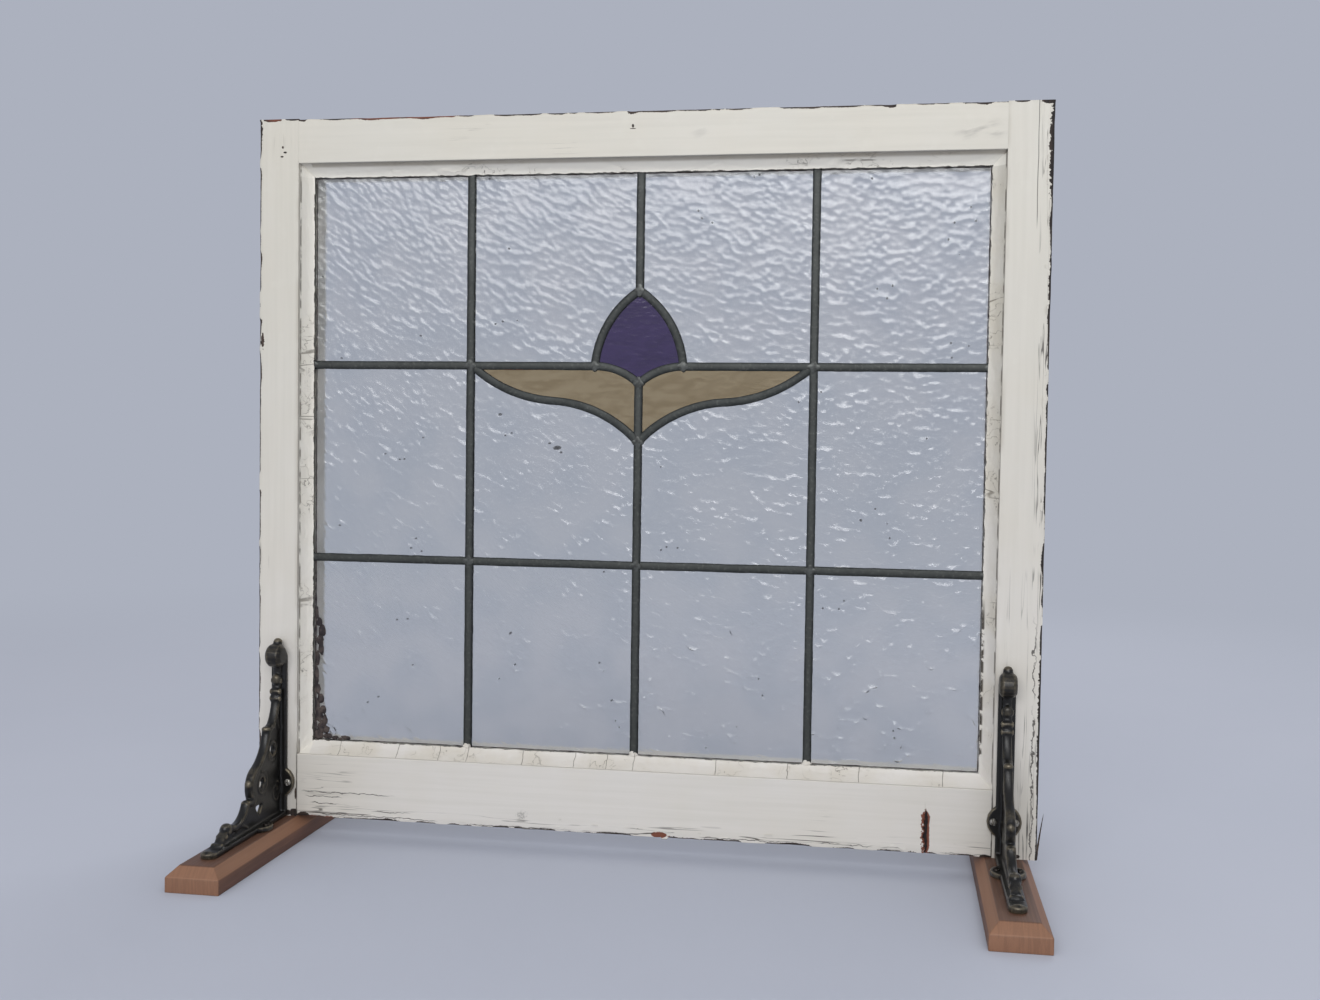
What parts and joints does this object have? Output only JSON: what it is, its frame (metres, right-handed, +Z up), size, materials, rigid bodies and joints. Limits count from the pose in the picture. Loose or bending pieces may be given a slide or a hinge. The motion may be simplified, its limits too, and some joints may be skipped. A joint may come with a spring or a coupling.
{
  "type": "leaded glass window panel in a painted timber sash, on a stand",
  "caption": "Leaded window light of clear textured panes with a tulip and leaves, in a worn cream timber sash, held upright on wooden feet by cast-iron brackets.",
  "frame": {"origin": "on the floor, below the middle of the sash", "axes": "+Z up, +X to the right seen from the front, front of the window towards -Y"},
  "size_m": [0.605, 0.322, 0.563],
  "materials": {
    "painted_timber": "cream oil paint, worn and chipped to the wood",
    "painted_putty": "linseed putty under the same cream paint",
    "lead": "dull oxidised lead, round face",
    "clear_glass": "clear hammered glass",
    "violet_glass": "streaky violet glass",
    "amber_glass": "streaky amber glass",
    "foot_wood": "stained softwood, satin",
    "black_iron": "blackened casting, rubbed on its edges"
  },
  "bodies": {
    "root": {"bottom_border_came": "lead", "bottom_putty": "painted_putty", "bottom_rail": "painted_timber", "left_border_came": "lead", "left_foot": "foot_wood", "left_front_bracket": "black_iron", "left_leaf_came": "lead", "left_leaf_glass": "amber_glass", "left_lower_inner_pane": "clear_glass", "left_lower_outer_pane": "clear_glass", "left_middle_inner_pane": "clear_glass", "left_middle_outer_pane": "clear_glass", "left_petal_came": "lead", "left_putty": "painted_putty", "left_rear_bracket": "black_iron", "left_stile": "painted_timber", "left_tulip_base_came": "lead", "left_upper_inner_pane": "clear_glass", "left_upper_outer_pane": "clear_glass", "left_upright_came": "lead", "lower_level_cames": "lead", "right_border_came": "lead", "right_foot": "foot_wood", "right_front_bracket": "black_iron", "right_leaf_came": "lead", "right_leaf_glass": "amber_glass", "right_lower_inner_pane": "clear_glass", "right_lower_outer_pane": "clear_glass", "right_middle_inner_pane": "clear_glass", "right_middle_outer_pane": "clear_glass", "right_petal_came": "lead", "right_putty": "painted_putty", "right_rear_bracket": "black_iron", "right_stile": "painted_timber", "right_tulip_base_came": "lead", "right_upper_inner_pane": "clear_glass", "right_upper_outer_pane": "clear_glass", "right_upright_came": "lead", "splinter": "painted_timber", "stem_came": "lead", "top_border_came": "lead", "top_centre_came": "lead", "top_putty": "painted_putty", "top_rail": "painted_timber", "tulip_glass": "violet_glass", "upper_outer_cames": "lead"}
  },
  "joints": []
}
